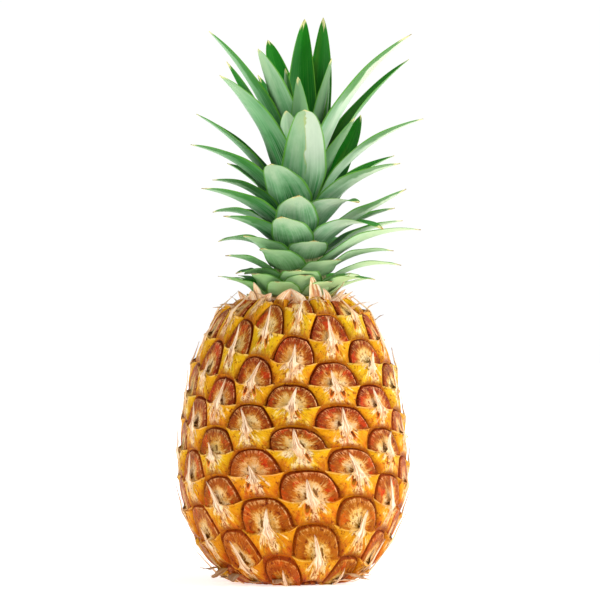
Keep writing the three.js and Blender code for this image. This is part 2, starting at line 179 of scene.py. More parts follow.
# How a leaf departs from the rule: degrees round, times longer, degrees at its foot and tip, degrees of hook
# at the very tip, times wider, and how much of its fold flattens out towards the tip
LEAF_TRAITS = ("turn", "longer", "foot", "lean", "hook", "wider", "flat")
PLAIN_LEAF = (0, 1, 0, 0, 0, 1, 0.3)
SPECIAL_LEAVES = {
    2: (0, 1.2, 0, 0, 0, 1, 1), 3: (45, 0.5, 0, -35, 0, 1, 1), 5: (0, 0.96, 0, -15, 0, 1.1, 1.3),
    7: (0, 1.25, 0, 0, 0, 1, 0.3), 8: (-8, 0.9, 0, 10, 0, 1, 0.8), 10: (5, 0.7, 0, -16, 0, 1, 1.2),
    11: (20, 1, 0, -10, 0, 1, 0.3), 12: (-35, 1, 0, -8, 0, 1, 0.3), 13: (-5, 0.94, 0, -9, 0, 1, 1.2),
    15: (10, 1.4, 0, -5, 0, 1, 0.3), 16: (28, 0.9, 0, -18, 0, 1, 0.8), 18: (0, 0.5, 0, -12, 0, 1, 1.3),
    19: (40, 1, 0, 20, 0, 1, 0.3), 20: (0, 1, 10, -15, 0, 1, 0.3), 21: (26, 0.94, 0, -13, 0, 1, 1.3),
    23: (5, 1, 0, 24, 0, 1, 1), 24: (30, 1, 10, 0, 0, 1, 0.3), 25: (-20, 0.8, 14, -14, 0, 1, 0.3),
    26: (0, 0.92, 0, -13, 0, 1, 1.3), 27: (45, 1, 0, 20, 0, 1, 0.3), 28: (0, 0.85, 26, -34, 0, 1, 0.3),
    29: (0, 1.15, 8, 4, 0, 1, 0.3), 31: (15, 0.65, 0, 20, 0, 1, 1), 32: (30, 1, -10, 14, 0, 1, 0.3),
    33: (15, 0.9, 0, -10, 0, 1, 0.3), 34: (6, 0.92, 0, 1, 15, 1.1, 1.3), 35: (40, 0.9, 4, -4, 0, 1, 0.3),
    36: (0, 0.75, 12, 0, 0, 1, 0.3), 37: (5, 1.1, 0, 16, 0, 1, 0.3), 38: (0, 0.9, 20, -48, 0, 1, 0.3),
    39: (0, 1.12, 0, 2, 25, 1.1, 1.3), 40: (33, 1.15, 0, 2, 0, 1, 0.3), 41: (-4, 0.85, 0, 8, 0, 1, 0.3),
    42: (-2, 1.3, -12, 10, 0, 1, 0.3), 44: (15, 0.55, 0, -10, 0, 0.6, 0.3), 45: (-20, 1.1, 0, -14, 0, 1, 0.3),
    46: (-14, 0.95, -4, 4, 0, 1, 0.3), 47: (0, 0.55, 0, 0, 0, 1, 0.3), 48: (-8, 1.25, 0, 16, 0, 1, 0.3),
    49: (-2, 0.9, -10, 16, 0, 1, 0.3), 50: (-5, 1.15, -6, 18, 0, 1, 0.3), 51: (0, 0.9, 6, -36, 0, 1, 0.3),
    52: (-20, 0.6, 2, -14, 0, 0.7, 0.3), 53: (0, 0.8, 0, 8, 0, 1, 0.3), 54: (0, 0.6, 0, -30, 0, 0.7, 0.3),
    55: (-12, 0.95, 0, 20, 0, 1.15, 0.3), 56: (0, 1.1, -2, 16, 0, 1, 0.3), 57: (0, 0.7, 0, 0, 0, 0.6, 0.3),
    58: (20, 0.9, 0, 0, 0, 1, 0.3),
}

# Papery spikes, one on each eye: half widths and heights in millimetres
SPIKE_FOOT = 0.62  # turns below the eye's middle
SPIKE_REACH = 0.86  # turns above it
SPIKE_WIDTHS = (
    (0, 0.8), (0.15, 1.6), (0.28, 2.6), (0.37, 3.6), (0.42, 2.4),
    (0.5, 1.6), (0.62, 1.3), (0.8, 0.85), (0.93, 0.45), (1, 0.1),
)
SPIKE_LIFTS = ((0, 0.9), (0.15, 1.9), (0.38, 3.0), (0.6, 2.4), (0.85, 2.6), (1, 2.9))
SPIKE_RIBS = 3
STUB_REACH = 0.35  # of the broken ones
STUB_CHANCE = 0.14
SPIKE_THICKNESS = 0.3
SPIKE_LIFT = 3
SPIKE_STRAY = 4  # the topmost spikes stand off the shoulder by up to this much
STRAY_SPIKES = 22
SPIKE_RIDGE = 0.6
SPIKE_RIB_HEIGHT = 0.35
SPIKE_DROOP = 1.2
SPIKE_RAGGEDNESS = 0.2
FIRST_SPIKE = FIRST_EYE + 6
LAST_SPIKE = LAST_EYE - 6

# Loose pieces, which are leaves of another size. Their thickness is in crown leaves' thicknesses.
LOOSE_TRAITS = ("turn", "foot_radius", "foot", "length", "width", "foot_lean", "tip_lean", "thickness")
LIMP_THICKNESS = 0.6
DRY_THICKNESS = 0.35
# Dry scraps: turn, foot radius and height, length, width, lean at the foot and at the tip, and greyness
CROWN_SCRAPS = (
    (-86, 28, 149, 8, 9, 40, 60, 0.3),
    (-72, 28, 149, 9, 10, 25, 45, 0.1),
    (-60, 28, 149, 9, 9, 15, 40, 0.3),
    (-50, 27, 149, 9, 10, 20, 35, 0.0),
    (-41, 27, 149, 13, 8, 20, 10, 0.2),
    (-26, 27, 148, 9, 8, 15, 50, 0.3),
    (-13, 28, 147, 12, 11, 20, 25, 0.0),
    (3, 28, 147, 8, 11, 35, 70, 0.4),
    (27, 27, 147, 18, 10, 5, -6, 0.0),
    (40, 28, 148, 12, 7, 25, 40, 0.2),
    (54, 27, 149, 10, 10, 15, 40, 0.1),
    (60, 24, 152, 17, 1.6, 40, 20, 0.3),
    (70, 28, 149, 9, 10, 20, 45, 0.0),
    (84, 28, 149, 8, 9, 35, 60, 0.1),
    (-33, 28, 148, 9, 10, 20, 40, 0.1),
    (-20, 27, 149, 6, 9, 20, 50, 0.5),
    (-5, 27, 149, 7, 9, 25, 40, 0.2),
    (9, 28, 148, 11, 9, 20, 30, 0.4),
    (19, 27, 149, 6, 10, 30, 70, 0.4),
    (33, 29, 147, 7, 8, 30, 60, 0.0),
    (46, 28, 148, 9, 10, 25, 45, 0.2),
)
HIDDEN_CROWN_SCRAPS = range(104, 290, 19)  # turns, behind
# Short leaves at the crown's foot, in the same measures
FOOT_LEAVES = (
    (-88, 17, 154.8, 26, 15, 52, 84),
    (-64, 19.5, 154.4, 22, 16, 50, 84),
    (-38, 17, 155, 21, 22, 38, 80),
    (-14, 20, 154.4, 16, 20, 44, 84),
    (12, 17, 155, 19, 22, 34, 82),
    (36, 20, 154.4, 17, 18, 46, 84),
    (58, 17, 155, 23, 18, 42, 80),
    (82, 19.5, 154.4, 25, 14, 54, 84),
)
HIDDEN_FOOT_LEAVES = range(106, 260, 24)
BODY_SCRAPS = (
    (-84, 35, 146, 9, 6, 60, 100, 0.3),
    (-60, 36, 147, 8, 5, 50, 95, 0.5),
    (58, 37, 147, 9, 5, 40, 90, 0.2),
    (84, 38, 144, 11, 4, 30, 75, 0.7),
    (90, 43, 138, 9, 3, 20, 75, 0.9),
    (-66, 45, 9, 10, 7, 105, 70, 0.7),
    (-62, 41, 8.5, 15, 9, 118, 92, 0.6),
    (-50, 37, 6.5, 14, 10, 124, 88, 0.7),
    (-36, 33, 2, 10, 7, 92, 84, 0.8),
    (-12, 34, 4.2, 9, 8, 120, 90, 0.5),
    (44, 33, 2.2, 12, 8, 90, 80, 0.5),
    (52, 38, 6.6, 14, 8, 120, 86, 0.5),
    (62, 42, 6, 9, 6, 100, 75, 0.3),
)
HIDDEN_BASE_SCRAPS = range(80, 300, 34)

# Camera and light
PIXEL = 0.541  # millimetres of the object that one pixel of the photo shows
PICTURE_WIDTH = 600
LENS = 200
SENSOR = 36
LOOK_AT = (3.8, 0, 152)

# Angles in degrees past which an edge stays sharp
RIND_SHARPNESS = 50
LEAF_SHARPNESS = 60
PAPER_SHARPNESS = 40

rng = np.random.default_rng(7)


# Making and placing meshes
def deselect_all():
    for item in bpy.data.objects:
        item.select_set(False)


def active():
    return bpy.context.view_layer.objects.active


def only(piece):
    """Makes the piece the one selected, active object."""
    deselect_all()
    piece.select_set(True)
    bpy.context.view_layer.objects.active = piece


def apply_all_modifiers(piece):
    only(piece)
    for modifier in list(piece.modifiers):
        bpy.ops.object.modifier_apply(modifier=modifier.name)


def points_of(mesh):
    flat = np.empty(len(mesh.vertices) * 3)
    mesh.vertices.foreach_get("co", flat)
    return flat.reshape(-1, 3)


def move_points(mesh, places):
    mesh.vertices.foreach_set("co", np.asarray(places, float).ravel())
    mesh.update()


def copy_of(blank, name):
    """A copy of a blank with a mesh of its own."""
    piece = bpy.data.objects.new(name, blank.data.copy())
    piece.data.name = name
    bpy.context.collection.objects.link(piece)
    return piece


def remove(piece):
    mesh = piece.data
    bpy.data.objects.remove(piece)
    bpy.data.meshes.remove(mesh)


def join(pieces, name):
    only(pieces[0])
    for piece in pieces:
        piece.select_set(True)
    bpy.ops.object.join()
    whole = active()
    whole.name = whole.data.name = name
    return whole


def write_vectors(mesh, name, domain, values):
    """Keeps three numbers for each point or face corner, for the materials to read."""
    stored = mesh.attributes.new(name, "FLOAT_VECTOR", domain)
    stored.data.foreach_set("vector", np.asarray(values, float).ravel())


def smooth_shading(piece, angle):
    only(piece)
    bpy.ops.object.shade_smooth_by_angle(angle=math.radians(angle))


def between(values, share):
    return np.interp(share, (0, 0.5, 1), values)


def smooth(x):
    x = np.clip(x, 0, 1)
    return x * x * (3 - 2 * x)


def along_profile(profile, share):
    return np.interp(share, *zip(*profile))


def running_sum(steps):
    return np.concatenate(([0], np.cumsum(steps)))


def chance(number, use):
    """A repeatable number from 0 to 1 for a leaf and a use."""
    x = math.sin(number * 12.9898 + use * 78.233) * 43758.5453
    return x - math.floor(x)


def jitter(number, use):
    return 2 * chance(number, use) - 1


# Fruit surface
def sample_outline():
    """The outline as a smooth curve through its points: radius, height and distance from the top."""
    points = np.array(FRUIT_OUTLINE, float)
    last = len(points) - 1
    spans = np.linspace(0, last, last * OUTLINE_STEPS + 1)
    n = np.minimum(np.floor(spans).astype(int), last)
    t = (spans - n)[:, None]
    before, here = points[np.maximum(n - 1, 0)], points[n]
    after, beyond = points[np.minimum(n + 1, last)], points[np.minimum(n + 2, last)]
    start, end = (after - before) / 2, (beyond - here) / 2
    bend = 2 * here - 2 * after + start + end
    curve = bend * t**3 + (3 * after - 3 * here - 2 * start - end) * t**2 + start * t + here
    steps = np.hypot(*np.diff(curve, axis=0).T)
    return curve[:, 0], curve[:, 1], running_sum(steps)


OUTLINE_RADIUS, OUTLINE_HEIGHT, OUTLINE_DISTANCE = sample_outline()
MIDDLE_DISTANCE = OUTLINE_DISTANCE[np.argmax(OUTLINE_HEIGHT <= MIDDLE_HEIGHT)]


def outline_at(distance):
    """The fruit's radius and height at distances down its outline."""
    radius = np.interp(distance, OUTLINE_DISTANCE, OUTLINE_RADIUS)
    return radius, np.interp(distance, OUTLINE_DISTANCE, OUTLINE_HEIGHT)


def row_distance(past):
    """How far down the outline turns past the middle turn lie. Rows crowd at both ends."""
    wanted = TURN_PITCH * past + PITCH_GROWTH * past**3
    room = np.where(past > 0, OUTLINE_DISTANCE[-1] - MIDDLE_DISTANCE, MIDDLE_DISTANCE)
    rest = CROWDING * np.log(1 + np.exp((room - np.abs(wanted)) / CROWDING))
    return MIDDLE_DISTANCE + np.sign(past) * (room - rest)


def stray(waves, around, past):
    """How far a set of waves moves points that lie at angles round the fruit."""
    return sum(size * np.sin(times * around + start + drift * past) for times, size, start, drift in waves)


def on_fruit(column, turn, height):
    """Places on the fruit, in metres, at columns and turns of the spiral and at heights in millimetres."""
    past = turn - MIDDLE_TURN
    around = 2 * np.pi * column / COLUMNS
    distance = row_distance(past + stray(TURN_WAVES, around, past))
    radius, level = outline_at(distance)
    radius_below, height_below = outline_at(distance + SLOPE_STEP)
    radius_above, height_above = outline_at(distance - SLOPE_STEP)
    widening, dropping = radius_below - radius_above, height_above - height_below
    size = np.maximum(np.hypot(widening, dropping), 1e-6)
    bend = FIRST_COLUMN + TWIST * past**2 + stray(COLUMN_WAVES, around, past)
    angle = (column + bend) * 2 * np.pi / COLUMNS
    out = radius + height * dropping / size
    up = level + height * widening / size
    up = np.maximum(up, 0)
    up = np.where(radius < SEAT_RADIUS, np.minimum(up, SEAT_HEIGHT), up)
    return np.stack((out * np.sin(angle), -out * np.cos(angle), up), -1) * MM


# Eyes of the rind
def eye_border():
    """A cell's border, anticlockwise from its right wing tip and ray by ray: columns right and turns down."""
    w, t = WING_TIP, TOP_CORNER
    corners = np.array([(w, 0), (t, -1), (-t, -1), (-w, 0), (-t, 1), (t, 1)])
    side, up = EDGE_BOW_SIDE, EDGE_BOW_UP
    bows = np.array([(side, -up), (0, -up), (-side, -up), (side, -up), (0, -up), (-side, -up)])
    places = []
    for n in range(6):
        start, end = corners[n], corners[(n + 1) % 6]
        pull = start / 2 + end / 2 + 2 * bows[n]
        for share in RAYS_PER_SIDE:
            rest = 1 - share
            places.append(rest * rest * start + 2 * rest * share * pull + share * share * end)
    return np.array(places)


def spread_rings(border, share, reach, seed):
    """The reach of each point once a cap's rings follow its round arch and not the six-sided cell."""
    lean = ARCH_LEAN * (2 * seed[1] - 1) * border[:, 1]
    right = np.abs(border[:, 0] + lean) / (ARCH_WIDTH * (0.96 + 0.12 * seed[0]))
    up = np.abs(border[:, 1]) / (ARCH_HEIGHT * (0.93 + 0.12 * seed[2]))
    limit = np.minimum((right**ARCH_POWER + up**ARCH_POWER) ** (-1 / ARCH_POWER), ARCH_LIMIT)
    outside = limit + (reach - GROOVE_REACH) * (1 - limit) / (1 - GROOVE_REACH)
    spread = np.where(reach < GROOVE_REACH, reach * limit / GROOVE_REACH, outside)
    return np.where(is_cap(share, reach), spread, reach)


RAYS = 6 * len(RAYS_PER_SIDE)


def make_eye_blank():
    """One flat eye: a disc inset ring by ring to its middle, with a ray to every point of the border."""
    deselect_all()
    bpy.ops.mesh.primitive_circle_add(vertices=RAYS, radius=1, fill_type="NGON")
    blank = active()
    blank.name = "eye_blank"
    corner_reach = math.cos(math.pi / RAYS)
    bpy.ops.object.mode_set(mode="EDIT")
    bpy.ops.mesh.select_all(action="SELECT")
    for outer, inner in zip(RINGS, RINGS[1:]):
        bpy.ops.mesh.inset(thickness=(outer - inner) * corner_reach)
    bpy.ops.mesh.poke()
    bpy.ops.object.mode_set(mode="OBJECT")
    return blank


def read_eye_blank(blank):
    """The ray and ring of each of the blank's points, and of each face corner without a jump across ray 0."""
    places = points_of(blank.data)
    reach = np.hypot(places[:, 0], places[:, 1])
    ray = np.round((np.arctan2(places[:, 1], places[:, 0])) / (2 * np.pi) * RAYS) % RAYS
    corner_point = np.empty(len(blank.data.loops), int)
    blank.data.loops.foreach_get("vertex_index", corner_point)
    corner_ray = ray[corner_point]
    for face in blank.data.polygons:
        corners = np.arange(face.loop_start, face.loop_start + face.loop_total)
        outer = reach[corner_point[corners]] > 1e-4
        rays = corner_ray[corners]
        if rays[outer].max() - rays[outer].min() > 1:
            rays[rays == 0] = RAYS
        rays[~outer] = rays[outer].mean()
        corner_ray[corners] = rays
    return ray.astype(int), reach, corner_point, corner_ray / RAYS


def eye_heights(share, reach, lip, ribs):
    """Heights over one eye. share is the angle round it, 0 to 1: the cap's half first, then the bract's."""
    cap = along_profile(CAP_PROFILE, reach)
    bract = along_profile(BRACT_PROFILE, reach)
    from_edge = np.minimum(np.minimum(share, 1 - share), np.abs(share - 0.5))
    hump = np.sin(np.pi * np.clip(reach, 0, 1)) ** 0.8
    bract = bract + lip * np.exp(-((from_edge / LIP_WIDTH) ** 2)) * (1 - reach**6)
    bract = bract + RIB_HEIGHT * hump * np.sin(ribs + 38 * np.pi * share)
    return np.where(is_cap(share, reach), cap, bract)


def is_cap(share, reach):
    return (share > 0.002) & (share < 0.498) & (reach > 1e-4)


def ragged_reach(share, reach, seed):
    """The reach over a cap with its rim's lobes, scallops and now and then a notch."""
    lobes = LOBE_DEPTH * np.sin(2 * np.pi * (LOBES * share + seed[0]))
    scallops = SCALLOP_DEPTH * np.sin(2 * np.pi * (SCALLOPS * share * 2 + seed[1]))
    from_notch = (share - 0.1 - 0.3 * seed[3]) / NOTCH_WIDTH
    notch = NOTCH_DEPTH * max(0, seed[2] - 0.4) * np.exp(-(from_notch**2))
    inner = smooth(reach / 0.5) * (1 - smooth((reach - 0.9) / 0.07))
    return np.where(is_cap(share, reach), reach + (lobes + scallops + notch) * inner, reach)


def make_rind(material):
    """The rind: a copy of the eye blank on every place of the spiral, joined into one closed skin."""
    blank = make_eye_blank()
    blank.data.materials.append(material)
    ray, reach, corner_point, corner_share = read_eye_blank(blank)
    border = eye_border()[ray]
    share = np.array([(n + s) / 6 for n in range(6) for s in RAYS_PER_SIDE])
    corner_share = np.interp(corner_share * RAYS, np.arange(RAYS + 1), np.append(share, 1))
    share = share[ray]
    sag = np.sin(np.pi * reach) * np.exp(-((np.sin(2 * np.pi * share) / 0.35) ** 2))
    eyes = []
    for eye in range(FIRST_EYE, LAST_EYE + 1):
        seed = rng.random(6)
        spread = spread_rings(border, share, reach, rng.random(3))
        right = border[:, 0] * spread
        ragged = ragged_reach(share, reach, seed)
        height = eye_heights(share, ragged, LIP_HEIGHT * (0.7 + 0.6 * seed[4]), 6.28 * seed[5])
        down = border[:, 1] * spread + sag * BRACT_DIP * (0.6 + 0.8 * seed[3])
        turn = eye / EYES_PER_TURN
        places = on_fruit(eye * COLUMN_STEP + right, turn + down + right * ROW_SLOPE, height)
        piece = copy_of(blank, f"eye_{eye - FIRST_EYE:03d}")
        move_points(piece.data, places)
        dial = np.stack((corner_share, ragged[corner_point], np.full(len(corner_share), seed[5])), -1)
        write_vectors(piece.data, "eye_dial", "CORNER", dial)
        spot = np.stack((right * COLUMN_WIDTH, -down * TURN_PITCH, height), -1)
        write_vectors(piece.data, "eye_spot", "CORNER", spot[corner_point])
        eyes.append(piece)
    remove(blank)
    rind = join(eyes, "rind")
    weld_and_close(rind)
    smooth_shading(rind, RIND_SHARPNESS)
    return rind


def weld_and_close(rind):
    """Welds the eyes to each other and closes the skin under the crown and on the base."""
    only(rind)
    bpy.ops.object.mode_set(mode="EDIT")
    bpy.ops.mesh.select_all(action="SELECT")
    bpy.ops.mesh.remove_doubles(threshold=WELD_GAP * MM)
    for height in (SEAT_HEIGHT, 0):
        bpy.ops.mesh.select_all(action="DESELECT")
        bpy.ops.object.mode_set(mode="OBJECT")
        select_open_rim(rind.data, height > MIDDLE_HEIGHT)
        bpy.ops.object.mode_set(mode="EDIT")
        bpy.ops.mesh.edge_face_add()
        bpy.ops.mesh.poke()
        bpy.ops.object.mode_set(mode="OBJECT")
        rind.data.vertices[len(rind.data.vertices) - 1].co = (0, 0, height * MM)
        bpy.ops.object.mode_set(mode="EDIT")
    bpy.ops.object.mode_set(mode="OBJECT")


def select_open_rim(mesh, upper):
    """Selects the open edges above or below the fruit's middle."""
    uses = np.zeros(len(mesh.edges), int)
    corner_edge = np.empty(len(mesh.loops), int)
    mesh.loops.foreach_get("edge_index", corner_edge)
    np.add.at(uses, corner_edge, 1)
    for edge in np.flatnonzero(uses == 1):
        first, second = mesh.edges[edge].vertices
        if (mesh.vertices[first].co.z > MIDDLE_HEIGHT * MM) == upper:
            mesh.edges[edge].select = True
            mesh.vertices[first].select = True
            mesh.vertices[second].select = True


# Strips: leaves, spikes and dry bracts all start as the same flat blank
def make_strip_blank(material, across, along):
    """A flat strip one thick: x from -1 to 1 between its margins, y from 0 at the foot to 1 at the tip."""
    deselect_all()
    bpy.ops.mesh.primitive_grid_add(x_subdivisions=across, y_subdivisions=along, size=2)
    blank = active()
    blank.name = "strip_blank"
    blank.data.materials.append(material)
    wall = blank.modifiers.new("wall", "SOLIDIFY")
    wall.thickness = 1
    wall.offset = 1
    apply_all_modifiers(blank)
    places = points_of(blank.data)
    places[:, 1] = (places[:, 1] + 1) / 2
    move_points(blank.data, places)
    return blank


def lay_strip(blank, name, shape, kind):
    """A copy of a strip blank, with its points where the shape puts them. kind is kept for the materials."""
    piece = copy_of(blank, name)
    places = points_of(piece.data)
    across, along, depth = places.T
    move_points(piece.data, shape(across, along, depth))
    write_vectors(piece.data, "strip_place", "POINT", places)
    write_vectors(piece.data, "strip_kind", "POINT", np.tile(kind, (len(places), 1)))
    return piece


def finish_strip(piece, angle):
    """Turns a strip's faces outwards and smooths all but the edges sharper than the angle."""
    only(piece)
    bpy.ops.object.mode_set(mode="EDIT")
    bpy.ops.mesh.select_all(action="SELECT")
    bpy.ops.mesh.normals_make_consistent(inside=False)
    bpy.ops.object.mode_set(mode="OBJECT")
    smooth_shading(piece, angle)


def join_strips(strips, name, angle):
    whole = join(strips, name)
    finish_strip(whole, angle)
    return whole


# Leaves of the crown
def stem_radius(share):
    return STEM_BASE_RADIUS + (STEM_TOP_RADIUS - STEM_BASE_RADIUS) * share**STEM_TAPER_POWER


def leaf_form(number):
    """All that sets one leaf apart, by its place in the spiral from the lowest leaf to the innermost."""
    special = dict(zip(LEAF_TRAITS, SPECIAL_LEAVES.get(number, PLAIN_LEAF)))
    share = (number - 1) / (LEAF_COUNT - 1)
    heart = max(0, number - LEAF_COUNT + HEART_LEAVES) / HEART_LEAVES
    length = SHORT_LEAF + (LONG_LEAF - SHORT_LEAF) * share**LENGTH_POWER
    turn = LEAF_TURN * (number - FRONT_LEAF) + special["turn"] + TURN_JITTER * jitter(number, 1)
    sunny = math.sin(math.radians(turn))
    growth = (1 + SUNNY_GROWTH * sunny) * (1 + LENGTH_JITTER * jitter(number, 2)) * special["longer"]
    climb = FIRST_LEAF_LIFT + (STEM_LEAF_HEIGHT - LAST_LEAF_DROP - FIRST_LEAF_LIFT) * share**CLIMB_POWER
    tip_lean = LOW_TIP_LEAN + (HIGH_TIP_LEAN - LOW_TIP_LEAN) * share**TIP_LEAN_POWER + SUNNY_LEAN * sunny
    return {
        "turn": math.radians(turn),
        "foot": STEM_BOTTOM + climb,
        "foot_radius": stem_radius(climb / STEM_LEAF_HEIGHT) + STEM_GAP + FOOT_THICKNESS,
        "length": length * (1 - HEART_SHORTENING * heart) * growth,
        "foot_lean": between(FOOT_LEANS, share) + special["foot"],
        "tip_lean": tip_lean + TIP_LEAN_JITTER * jitter(number, 3) + special["lean"],
        "hook": special["hook"],
        "width": between(LEAF_WIDTHS, share) * special["wider"],
        "fold": LOW_FOLD + (HIGH_FOLD - LOW_FOLD) * share,
        "flat": special["flat"],
        "slender": special["wider"] < SLENDER,
        "drift": math.radians(DRIFT_JITTER * jitter(number, 4)),
        "wave_phase": 2 * math.pi * chance(number, 6),
        "steps": SHORT_LEAF_STEPS if number <= SHORT_LEAVES else LEAF_STEPS,
        "thickness": 1,
        "on_crown": 1,
    }


def leaf_spine(form, along):
    """Distance from the axis, height and lean of a leaf's middle line at shares of its length."""
    shares = np.linspace(0, 1, form["steps"] + 1)
    hook = form["hook"] * smooth((shares - HOOK_START) / (1 - HOOK_START))
    lean = np.radians(form["foot_lean"] + (form["tip_lean"] - form["foot_lean"]) * shares + hook)
    step = form["length"] / form["steps"]
    out = form["foot_radius"] + running_sum(np.sin(lean[:-1]) * step)
    up = form["foot"] + running_sum(np.cos(lean[:-1]) * step)
    return tuple(np.interp(along, shares, line) for line in (out, up, lean))


def leaf_shape(form):
    """The function that bends a flat strip into a leaf: wrapped round the stem below and channelled above."""

    def shape(across, along, depth):
        out, up, lean = leaf_spine(form, along)
        foot_width = min(form["width"], FOOT_WRAP * form["foot_radius"])
        width = foot_width + (form["width"] - foot_width) * smooth(along / WIDEST_AT)
        taper = np.maximum(1 - along**TAPER_POWER, 0) ** TAPER_ROUNDING
        half = np.maximum(width * taper, NARROWEST) / 2
        wrap_radius = out / np.maximum(np.cos(lean), FLATTEST_COSINE)
        wrap = half / wrap_radius * across
        opened = smooth(along / OPEN_AT)
        fold = form["fold"] * (1 - form["flat"] * along**2)
        aside = (1 - opened) * wrap_radius * np.sin(wrap) + opened * half * across * np.cos(fold)
        gutter = half * np.sin(fold) * np.abs(across) ** FOLD_POWER
        rise = (1 - opened) * wrap_radius * (1 - np.cos(wrap)) + opened * gutter
        wave = np.sin(2 * np.pi * MARGIN_WAVES * along + form["wave_phase"] * across)
        rise = rise + opened * MARGIN_WAVE * wave * np.abs(across) ** WAVE_POWER * (1 - along)
        body = FOOT_THICKNESS + (LEAF_THICKNESS - FOOT_THICKNESS) * smooth(along / WIDEST_AT)
        thickness = (body + (TIP_THICKNESS - body) * along) * form["thickness"]
        section = np.maximum(thickness * (1 - across**2), MARGIN_THICKNESS)
        lift = rise + depth * section
        out = out - lift * np.cos(lean)
        up = up + lift * np.sin(lean)
        turn = form["turn"] + form["drift"] * along**2
        x = out * np.sin(turn) + aside * np.cos(turn)
        y = -out * np.cos(turn) + aside * np.sin(turn)
        x = x + form["on_crown"] * (CROWN_SHIFT + math.tan(CROWN_LEAN) * (up - STEM_BOTTOM))
        return np.stack((x, y, up), -1) * MM

    return shape


def make_leaves(material):
    blank = make_strip_blank(material, 12, 44)
    for number in range(1, LEAF_COUNT + 1):
        form = leaf_form(number)
        age = YOUNG if form["slender"] else (number - 1) / (LEAF_COUNT - 1)
        kind = (age, chance(number, 7), math.sin(form["turn"]))
        leaf = lay_strip(blank, f"waxy_leaf_{number:02d}", leaf_shape(form), kind)
        finish_strip(leaf, LEAF_SHARPNESS)
        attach(leaf, "root")
        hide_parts(f"leaf_{number:02d}")
    remove(blank)


# Papery spikes
def spike_shape(eye, lean, curl, lift, reach):
    """The function that lays a flat strip along an eye, from the foot of its bract to a tip over its cap."""
    column = eye * COLUMN_STEP
    turn = eye / EYES_PER_TURN
    foot, tip = SPIKE_FOOT, -reach

    def shape(across, along, depth):
        down = foot + (tip - foot) * along
        half = along_profile(SPIKE_WIDTHS, along) / COLUMN_WIDTH
        ragged = np.sin(31 * along + 40 * curl + 2 * across) + np.sin(57 * along + 90 * lean - across)
        half = half * (1 + SPIKE_RAGGEDNESS * ragged * (1 - along))
        rest = np.maximum(along - 0.3, 0)
        right = across * half + lean * rest + curl * rest**2
        height = along_profile(SPIKE_LIFTS, along) + lift * along**2
        ridge = SPIKE_RIDGE * (1 - np.abs(across)) * np.sin(np.pi * np.minimum(along + 0.15, 1))
        droop = SPIKE_DROOP * across**2 * (1 - smooth(along / 0.45))
        ribs = SPIKE_RIB_HEIGHT * np.cos(2 * np.pi * SPIKE_RIBS * across) * (1 - smooth(along / 0.55))
        height = height + ridge - droop + ribs + (depth - 1) * SPIKE_THICKNESS
        return on_fruit(column + right, turn + down + right * ROW_SLOPE, height)

    return shape


def make_spikes(material):
    blank = make_strip_blank(material, 12, 16)
    spikes = []
    for eye in range(FIRST_SPIKE, LAST_SPIKE + 1):
        seed = rng.random(6)
        stray_lift = SPIKE_STRAY * (1 - smooth((eye - FIRST_SPIKE) / STRAY_SPIKES)) * seed[3]
        lift = SPIKE_LIFT * seed[1] ** 2 + stray_lift
        reach = STUB_REACH if seed[4] < STUB_CHANCE else SPIKE_REACH * (0.7 + 0.4 * seed[2])
        shape = spike_shape(eye, 0.3 * (seed[0] - 0.5), 0.7 * (seed[5] - 0.5), lift, reach)
        spikes.append(lay_strip(blank, f"spike_{eye - FIRST_EYE:03d}", shape, (seed[3], eye / LAST_EYE, 0)))
    remove(blank)
    whole = join_strips(spikes, "papery_spikes", PAPER_SHARPNESS)
    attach(whole, "root")


# Loose pieces round the crown's foot and on the rind
def loose_form(*row):
    """A leaf form for a piece that isn't one of the crown's numbered leaves."""
    form = dict(zip(LOOSE_TRAITS, row), hook=0, flat=0.5, steps=24, on_crown=0)
    form["turn"] = math.radians(form["turn"])
    form["fold"] = 0.6 * (rng.random() - 0.3)
    form["drift"] = 0.5 * (rng.random() - 0.5)
    form["wave_phase"] = 6 * rng.random()
    return form


def make_foot_leaves(material):
    """The short leaves that close the crown's foot over the fruit."""
    blank = make_strip_blank(material, 8, 20)
    rows = list(FOOT_LEAVES)
    for number, turn in enumerate(HIDDEN_FOOT_LEAVES):
        odd = number % 2
        rows.append((turn, 17 + 2.5 * odd, 155 - 0.5 * odd, 20 + 6 * rng.random(), 17, 46, 84))
    leaves = []
    for number, place in enumerate(rows):
        kind = (0.05, rng.random(), math.sin(math.radians(place[0])))
        form = {**loose_form(*place, LIMP_THICKNESS), "fold": 0.3, "drift": 0}
        leaves.append(lay_strip(blank, f"foot_leaf_{number:02d}", leaf_shape(form), kind))
    remove(blank)
    whole = join_strips(leaves, "foot_leaves", LEAF_SHARPNESS)
    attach(whole, "root")


def make_scraps(material):
    """Dry tan bracts round the crown's foot and flakes on the shoulders and at the base."""
    blank = make_strip_blank(material, 6, 12)
    rows = list(CROWN_SCRAPS + BODY_SCRAPS)
    for turn in HIDDEN_CROWN_SCRAPS:
        length, width, lean = 6 + 5 * rng.random(), 7 + 5 * rng.random(), 30 * rng.random()
        rows.append((turn, 25, 150, length, width, lean, lean + 30, 0.3))
    for turn in HIDDEN_BASE_SCRAPS:
        rows.append((turn, 33, 2.5, 7 + 6 * rng.random(), 5 + 4 * rng.random(), 90, 80, 0.8))
    scraps = []
    for number, (*place, tone) in enumerate(rows):
        shape = leaf_shape(loose_form(*place, DRY_THICKNESS))
        scraps.append(lay_strip(blank, f"scrap_{number:02d}", shape, (rng.random(), tone, 0)))
    remove(blank)
    whole = join_strips(scraps, "dry_scraps", PAPER_SHARPNESS)
    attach(whole, "root")


